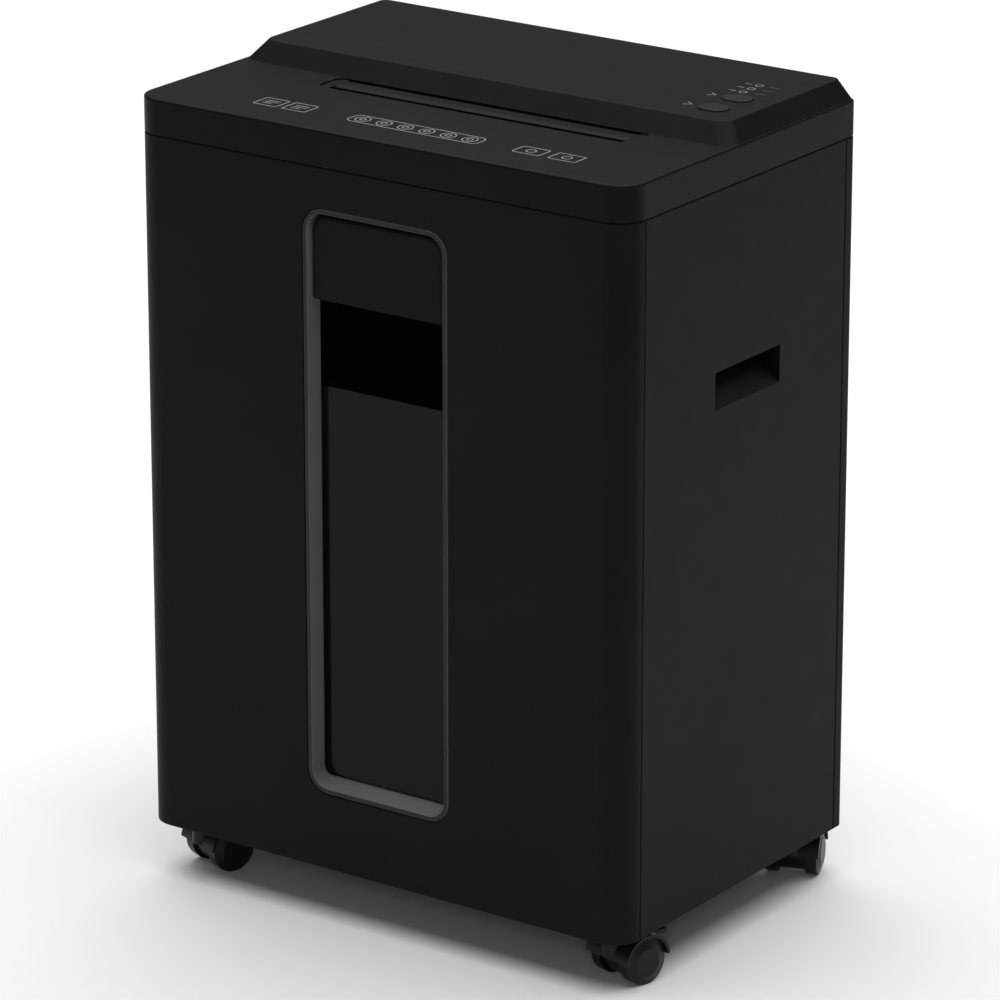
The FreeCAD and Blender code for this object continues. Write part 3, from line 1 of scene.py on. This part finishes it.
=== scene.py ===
"""Looks for the paper shredder: materials, printed marks, light, floor and camera."""
import json
import math
import bmesh
import bpy
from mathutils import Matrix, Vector


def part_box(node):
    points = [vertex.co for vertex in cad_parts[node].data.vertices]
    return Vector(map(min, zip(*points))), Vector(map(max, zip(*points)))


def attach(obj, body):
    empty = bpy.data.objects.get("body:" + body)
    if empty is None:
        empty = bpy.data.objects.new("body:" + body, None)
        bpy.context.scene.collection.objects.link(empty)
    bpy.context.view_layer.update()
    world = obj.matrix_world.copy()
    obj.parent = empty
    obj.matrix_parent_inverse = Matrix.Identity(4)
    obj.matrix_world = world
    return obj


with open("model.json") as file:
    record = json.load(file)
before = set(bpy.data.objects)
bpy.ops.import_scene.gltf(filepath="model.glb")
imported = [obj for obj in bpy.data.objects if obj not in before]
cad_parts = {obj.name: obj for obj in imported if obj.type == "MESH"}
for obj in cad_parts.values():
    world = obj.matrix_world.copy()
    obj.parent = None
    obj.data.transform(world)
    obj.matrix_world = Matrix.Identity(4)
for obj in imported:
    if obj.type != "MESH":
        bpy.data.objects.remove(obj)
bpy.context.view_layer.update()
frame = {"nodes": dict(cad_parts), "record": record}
MM = 0.001


# ---------------------------------------------------------------- material tools

class Nodes:
    """A small hand for building one material's node tree."""

    def __init__(self, name):
        self.material = bpy.data.materials.new(name)
        self.material.use_nodes = True
        self.tree = self.material.node_tree
        self.tree.nodes.clear()
        self.output = self.tree.nodes.new("ShaderNodeOutputMaterial")
        self.shader = self.tree.nodes.new("ShaderNodeBsdfPrincipled")
        self.join(self.shader.outputs["BSDF"], self.output.inputs["Surface"])
        self.coords = self.tree.nodes.new("ShaderNodeTexCoord")

    def join(self, source, target):
        self.tree.links.new(source, target)

    def set(self, **values):
        for key, value in values.items():
            self.shader.inputs[key.replace("_", " ")].default_value = value
        return self

    def noise(self, scale, detail=2.0, roughness=0.5, stretch=(1, 1, 1)):
        mapping = self.tree.nodes.new("ShaderNodeMapping")
        mapping.inputs["Scale"].default_value = stretch
        self.join(self.coords.outputs["Object"], mapping.inputs["Vector"])
        node = self.tree.nodes.new("ShaderNodeTexNoise")
        node.inputs["Scale"].default_value = scale
        node.inputs["Detail"].default_value = detail
        node.inputs["Roughness"].default_value = roughness
        self.join(mapping.outputs["Vector"], node.inputs["Vector"])
        return node.outputs["Fac"]

    def ramp(self, source, low, high, dark, light):
        """Maps a 0 to 1 value between two colours."""
        node = self.tree.nodes.new("ShaderNodeValToRGB")
        node.color_ramp.elements[0].position = low
        node.color_ramp.elements[0].color = (*dark, 1)
        node.color_ramp.elements[1].position = high
        node.color_ramp.elements[1].color = (*light, 1)
        self.join(source, node.inputs["Fac"])
        return node.outputs["Color"]

    def spread(self, source, low, high):
        """Maps a 0 to 1 value onto a number range."""
        node = self.tree.nodes.new("ShaderNodeMapRange")
        node.inputs["To Min"].default_value = low
        node.inputs["To Max"].default_value = high
        self.join(source, node.inputs["Value"])
        return node.outputs["Result"]

    def bump(self, *layers):
        """Stacks height layers, each (source, strength, distance in metres)."""
        normal = None
        for source, strength, distance in layers:
            node = self.tree.nodes.new("ShaderNodeBump")
            node.inputs["Strength"].default_value = strength
            node.inputs["Distance"].default_value = distance
            self.join(source, node.inputs["Height"])
            if normal:
                self.join(normal, node.inputs["Normal"])
            normal = node.outputs["Normal"]
        self.join(normal, self.shader.inputs["Normal"])
        return self


def moulded_plastic(name, dark, light, rough, grain, depth, specular=0.4):
    """Moulded plastic with a spark-eroded grain, slight tone drift and faint handling marks."""
    n = Nodes(name)
    n.set(Metallic=0.0, IOR=1.5)
    n.shader.inputs["Specular IOR Level"].default_value = specular
    drift = n.noise(9, 3)
    n.join(n.ramp(drift, 0.35, 0.65, dark, light), n.shader.inputs["Base Color"])
    n.join(n.spread(n.noise(60, 4), rough - 0.04, rough + 0.05), n.shader.inputs["Roughness"])
    n.bump((n.noise(grain, 3, 0.6), depth, 0.0002), (n.noise(grain / 6, 2), depth * 0.25, 0.0004))
    return n.material


def plain_plastic(name, colour, rough, coat=0.0, specular=0.5, grain=900, depth=0.05):
    """A smoother moulding, such as a key, a wheel or a gear."""
    n = Nodes(name)
    n.set(Metallic=0.0, IOR=1.5)
    n.shader.inputs["Specular IOR Level"].default_value = specular
    n.shader.inputs["Coat Weight"].default_value = coat
    n.shader.inputs["Coat Roughness"].default_value = 0.2
    light = tuple(min(c * 1.25, 1) for c in colour)
    n.join(n.ramp(n.noise(40, 3), 0.3, 0.7, colour, light), n.shader.inputs["Base Color"])
    n.join(n.spread(n.noise(150, 3), rough - 0.04, rough + 0.04), n.shader.inputs["Roughness"])
    n.bump((n.noise(grain, 2), depth, 0.0001))
    return n.material


def smoked_acrylic():
    """The window: dark polished sheet that lets a little light through."""
    n = Nodes("smoked_acrylic")
    n.set(Metallic=0.0, IOR=1.49)
    n.shader.inputs["Specular IOR Level"].default_value = 0.04
    n.shader.inputs["Transmission Weight"].default_value = 0.2
    dark, light = (0.0018, 0.0018, 0.002), (0.003, 0.003, 0.0033)
    n.join(n.ramp(n.noise(6, 2), 0.3, 0.7, dark, light), n.shader.inputs["Base Color"])
    n.join(n.spread(n.noise(25, 3), 0.1, 0.16), n.shader.inputs["Roughness"])
    n.bump((n.noise(14, 2), 0.02, 0.0003))
    return n.material


def trough_painted_highlight():
    """The bezel's plastic: dark on the rim, with a painted highlight on the drafted walls that lead to the
    pane, whose base colour is made lighter to stand in for the light they catch.
    """
    n = Nodes("trough_painted_highlight")
    n.set(Metallic=0.0, IOR=1.5)
    n.shader.inputs["Specular IOR Level"].default_value = 0.3
    facing = n.tree.nodes.new("ShaderNodeSeparateXYZ")
    n.join(n.coords.outputs["Normal"], facing.inputs["Vector"])
    # painted highlight mask: faces turned away from straight front get the lighter colour
    painted_highlight_mask = n.tree.nodes.new("ShaderNodeMapRange")
    painted_highlight_mask.inputs["From Min"].default_value = -0.9
    painted_highlight_mask.inputs["From Max"].default_value = -0.6
    n.join(facing.outputs["Y"], painted_highlight_mask.inputs["Value"])
    # painted highlight: a lighter grey standing in for light on the walls, not the plastic's own colour
    painted_highlight_colour = (0.12, 0.12, 0.123)
    n.join(n.ramp(painted_highlight_mask.outputs["Result"], 0.1, 0.9, BLACK, painted_highlight_colour), n.shader.inputs["Base Color"])
    n.join(n.spread(n.noise(80, 3), 0.34, 0.42), n.shader.inputs["Roughness"])
    n.bump((n.noise(1800, 3, 0.6), 0.12, 0.0002))
    return n.material


def ground_steel(name, colour, rough, stretch):
    """Ground or plated steel with fine lines across it."""
    n = Nodes(name)
    n.set(Metallic=1.0)
    lines = n.noise(300, 4, 0.6, stretch)
    dark = tuple(c * 0.75 for c in colour)
    n.join(n.ramp(lines, 0.3, 0.7, dark, colour), n.shader.inputs["Base Color"])
    n.join(n.spread(lines, rough - 0.06, rough + 0.1), n.shader.inputs["Roughness"])
    n.bump((lines, 0.1, 0.0001))
    return n.material


def screen_ink(name, colour):
    """Printed ink: flat, a little uneven, no shine."""
    n = Nodes(name)
    n.set(Metallic=0.0)
    n.shader.inputs["Specular IOR Level"].default_value = 0.2
    dark = tuple(c * 0.85 for c in colour)
    n.join(n.ramp(n.noise(700, 3), 0.3, 0.7, dark, colour), n.shader.inputs["Base Color"])
    n.join(n.spread(n.noise(300, 2), 0.5, 0.6), n.shader.inputs["Roughness"])
    return n.material


def frosted_lens():
    """The unlit indicator lenses."""
    n = Nodes("frosted_lens")
    n.set(Metallic=0.0, IOR=1.49)
    n.shader.inputs["Transmission Weight"].default_value = 0.3
    dark, light = (0.010, 0.010, 0.011), (0.014, 0.014, 0.015)
    n.join(n.ramp(n.noise(200, 2), 0.3, 0.7, dark, light), n.shader.inputs["Base Color"])
    n.join(n.spread(n.noise(200, 2), 0.3, 0.36), n.shader.inputs["Roughness"])
    return n.material


def circuit_board():
    """Green solder mask over faint tracks."""
    n = Nodes("solder_mask")
    n.set(Metallic=0.0)
    dark, light = (0.01, 0.07, 0.03), (0.02, 0.12, 0.05)
    tracks = n.noise(500, 2, 0.5, (1, 0.2, 1))
    n.join(n.ramp(tracks, 0.45, 0.55, dark, light), n.shader.inputs["Base Color"])
    n.join(n.spread(n.noise(200, 2), 0.3, 0.4), n.shader.inputs["Roughness"])
    return n.material


BLACK = (0.0034, 0.0034, 0.0035)
BLACK_LIGHT = (0.0044, 0.0044, 0.0045)
SHELL = moulded_plastic("shell_plastic", BLACK, BLACK_LIGHT, 0.5, 2200, 0.2, 0.085)
HEAD = moulded_plastic("head_plastic", (0.0026, 0.0026, 0.0027), (0.0035, 0.0035, 0.0036),
                       0.42, 2200, 0.2, 0.085)
INNER = moulded_plastic("inner_plastic", (0.0022, 0.0022, 0.0022), (0.0032, 0.0032, 0.0032),
                        0.6, 1500, 0.15, 0.06)
NYLON = plain_plastic("caster_nylon", (0.0055, 0.0055, 0.0058), 0.36, 0.0, 0.2)
KEY = plain_plastic("key_plastic", (0.006, 0.006, 0.0062), 0.4, 0.0, 0.16, 1800, 0.1)
PANE = smoked_acrylic()
LENS = frosted_lens()
STEEL = ground_steel("plated_steel", (0.42, 0.42, 0.43), 0.34, (1, 20, 20))
CUTTER = ground_steel("cutter_steel", (0.32, 0.32, 0.33), 0.3, (20, 1, 1))
CAN = plain_plastic("motor_enamel", (0.05, 0.05, 0.055), 0.4, 0.3)
BRONZE = ground_steel("bush_bronze", (0.45, 0.28, 0.12), 0.4, (1, 10, 10))
GEAR_NYLON = plain_plastic("gear_nylon", (0.62, 0.6, 0.54), 0.45)
BOARD = circuit_board()
# the bezel material carries a painted highlight on its walls
BEZEL_PAINTED_HIGHLIGHT = trough_painted_highlight()
# painted shade: a near-black copy of the shell plastic, standing in for the shadow inside the grip cup and
# the paper throat
PAINTED_SHADE = moulded_plastic("painted_shade_plastic", (0.001, 0.001, 0.001), (0.0014, 0.0014, 0.0014),
                        0.7, 1500, 0.1, 0.01)
INK = screen_ink("screen_ink", (0.34, 0.34, 0.34))

SLOT_MATERIALS = {
    "shell": SHELL, "inner_plastic": INNER, "caster_plastic": NYLON, "smoked_pane": PANE,
    "lens": LENS,
    "steel": STEEL, "motor_can": CAN, "bronze": BRONZE, "gear_plastic": GEAR_NYLON, "board": BOARD,
}
NODE_MATERIALS = {
    "head_cover": HEAD, "button_start": KEY, "button_reverse": KEY, "mains_rocker": KEY,
    "cutter_roller_front": CUTTER, "cutter_roller_rear": CUTTER,
    # window_bezel carries a painted highlight; grip_cup and throat_guide carry painted shade
    "window_bezel": BEZEL_PAINTED_HIGHLIGHT, "grip_cup": PAINTED_SHADE, "throat_guide": PAINTED_SHADE,
}


def dress(node, material):
    """Gives every material slot of a CAD object the same material."""
    slots = frame["nodes"][node].material_slots
    if not slots:
        frame["nodes"][node].data.materials.append(material)
    for slot in slots:
        slot.material = material


for entry in frame["record"]["subparts"]:
    dress(entry["node"], NODE_MATERIALS.get(entry["node"], SLOT_MATERIALS[entry["material_slot"]]))


# ---------------------------------------------------------------- places taken from the frame

head_low, head_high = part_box("head_cover")
lens_low, lens_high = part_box("indicator_lenses")
top_z = head_high[2]
HOUSING_RISE = 12 * MM
deck_z = top_z - HOUSING_RISE
INK_GAP = 0.00002
INK_TOP = 0.00006


# ---------------------------------------------------------------- printed pictograms

class Print:
    """Ink shapes a few hundredths of a millimetre thick on a level surface, joined in one mesh."""

    def __init__(self, level):
        self.bm = bmesh.new()
        self.level = level

    def slab(self, points):
        """A thin closed slab over a convex outline given anticlockwise in metres."""
        low, high = self.level + INK_GAP, self.level + INK_TOP
        floor = [self.bm.verts.new((x, y, low)) for x, y in points]
        roof = [self.bm.verts.new((x, y, high)) for x, y in points]
        self.bm.faces.new(list(reversed(floor)))
        self.bm.faces.new(roof)
        count = len(points)
        for k in range(count):
            after = (k + 1) % count
            self.bm.faces.new((floor[k], floor[after], roof[after], roof[k]))

    def loop(self, outer, inner):
        """A thin closed band between two outlines with the same number of points."""
        low, high = self.level + INK_GAP, self.level + INK_TOP
        rings = [[self.bm.verts.new((x, y, z)) for x, y in ring]
                 for z, ring in ((low, outer), (high, outer), (high, inner), (low, inner))]
        count = len(outer)
        for k in range(count):
            after = (k + 1) % count
            for a, b in ((0, 1), (1, 2), (2, 3), (3, 0)):
                self.bm.faces.new((rings[a][k], rings[a][after], rings[b][after], rings[b][k]))

    def line(self, x0, y0, x1, y1, wide):
        along = Vector((x1 - x0, y1 - y0)).normalized() * (wide / 2)
        side = Vector((-along.y, along.x))
        a, b = Vector((x0, y0)), Vector((x1, y1))
        self.slab([tuple(a - side), tuple(b - side), tuple(b + side), tuple(a + side)])

    def ring(self, x, y, radius, wide, steps=40):
        turn = [(math.cos(2 * math.pi * k / steps), math.sin(2 * math.pi * k / steps))
                for k in range(steps)]
        self.loop([(x + radius * c, y + radius * s) for c, s in turn],
                  [(x + (radius - wide) * c, y + (radius - wide) * s) for c, s in turn])

    def frame(self, x0, y0, x1, y1, radius, wide):
        self.loop(rounded(x0, y0, x1, y1, radius),
                  rounded(x0 + wide, y0 + wide, x1 - wide, y1 - wide, radius - wide))

    def finish(self, name):
        bmesh.ops.recalc_face_normals(self.bm, faces=self.bm.faces)
        mesh = bpy.data.meshes.new(name)
        self.bm.to_mesh(mesh)
        self.bm.free()
        mesh.materials.append(INK)
        thing = bpy.data.objects.new(name, mesh)
        bpy.context.collection.objects.link(thing)
        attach(thing, "cabinet")


def rounded(x0, y0, x1, y1, radius, steps=8):
    """A rectangle's outline with round corners, anticlockwise."""
    points = []
    for cx, cy, start in ((x1 - radius, y1 - radius, 0), (x0 + radius, y1 - radius, 90),
                          (x0 + radius, y0 + radius, 180), (x1 - radius, y0 + radius, 270)):
        for k in range(steps + 1):
            a = math.radians(start + 90 * k / steps)
            points.append((cx + radius * math.cos(a), cy + radius * math.sin(a)))
    return points


def print_deck():
    """Generic marks in front of the slot: two sheet boxes, a row of discs in a frame and two more boxes."""
    ink = Print(deck_z)
    row = head_low[1] + 36 * MM
    line = 0.6 * MM
    for x in (-104 * MM, -82 * MM):
        ink.frame(x - 9 * MM, row - 8 * MM, x + 9 * MM, row + 8 * MM, 1.5 * MM, line)
        ink.line(x - 5 * MM, row + 3 * MM, x + 5 * MM, row + 3 * MM, line)
        ink.line(x - 5 * MM, row, x + 5 * MM, row, line)
        ink.line(x - 5 * MM, row - 3 * MM, x + 2 * MM, row - 3 * MM, line)
    ink.frame(-43 * MM, row - 7.5 * MM, 55 * MM, row + 7.5 * MM, 5 * MM, line)
    for k in range(6):
        x = (-34 + 16 * k) * MM
        ink.ring(x, row, 5.2 * MM, line)
        ink.ring(x, row, 2.2 * MM, line)
    for x in (91 * MM, 117 * MM):
        ink.frame(x - 10 * MM, row - 7 * MM, x + 10 * MM, row + 7 * MM, 1.5 * MM, line)
        ink.ring(x, row, 3.4 * MM, line)
    ink.finish("deck_print")


def print_controls():
    """Generic marks beside the keys and the indicator lenses."""
    ink = Print(top_z)
    line = 0.5 * MM
    for node in ("button_start", "button_reverse"):
        low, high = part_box(node)
        x, y = low[0] - 6 * MM, (low[1] + high[1]) / 2
        ink.line(x - 3 * MM, y - 3 * MM, x + 2 * MM, y, line)
        ink.line(x - 3 * MM, y + 3 * MM, x + 2 * MM, y, line)
    middle = (lens_low[1] + lens_high[1]) / 2
    pitch = (lens_high[1] - lens_low[1]) / 2 * 0.9
    for k in (-1, 0, 1):
        y = middle + k * pitch
        ink.ring(lens_low[0] - 8 * MM, y, 2.6 * MM, line)
        ink.line(lens_low[0] - 18 * MM, y, lens_low[0] - 13 * MM, y, line)
    ink.finish("control_print")


print_deck()
print_controls()


# ---------------------------------------------------------------- camera, light and floor

def add_camera():
    camera = bpy.data.objects.new("camera", bpy.data.cameras.new("camera"))
    bpy.context.collection.objects.link(camera)
    camera.data.lens = 210.46
    camera.data.sensor_width = 36
    camera.location = (2.0222, -2.8509, 1.4488)
    camera.rotation_euler = (math.radians(90 - 18.86), 0, math.radians(35.29))
    camera.data.clip_end = 50
    bpy.context.scene.camera = camera


def add_area(name, place, target, size, power):
    """A rectangular lamp at place, turned to face target."""
    light = bpy.data.lights.new(name, "AREA")
    light.shape = "RECTANGLE"
    light.size, light.size_y = size
    light.energy = power
    lamp = bpy.data.objects.new(name, light)
    lamp.location = place
    lamp.rotation_euler = (Vector(target) - Vector(place)).to_track_quat("-Z", "Y").to_euler()
    bpy.context.collection.objects.link(lamp)


def add_floor():
    mesh = bpy.data.meshes.new("floor")
    reach = 12
    corners = [(-reach, -reach, 0), (reach, -reach, 0), (reach, reach, 0), (-reach, reach, 0)]
    mesh.from_pydata(corners, [], [(0, 1, 2, 3)])
    floor = bpy.data.objects.new("floor", mesh)
    bpy.context.collection.objects.link(floor)
    n = Nodes("pale_floor")
    dark, light = (0.88, 0.88, 0.88), (0.91, 0.91, 0.91)
    n.join(n.ramp(n.noise(3, 2), 0.3, 0.7, dark, light), n.shader.inputs["Base Color"])
    n.set(Roughness=0.8)
    mesh.materials.append(n.material)


def add_world():
    world = bpy.data.worlds.new("studio")
    bpy.context.scene.world = world
    world.use_nodes = True
    background = world.node_tree.nodes["Background"]
    background.inputs["Color"].default_value = (1, 1, 1, 1)
    background.inputs["Strength"].default_value = 0.16


add_camera()
add_floor()
add_world()
add_area("ceiling", (-0.4, 0.9, 4.3), (-0.4, 0.9, 0), (7.5, 7.5), 400)
add_area("corner_box", (2.47, -3.48, 1.75), (0, 0, 0.3), (0.9, 1.2), 18)
bpy.context.scene.view_settings.view_transform = "Standard"
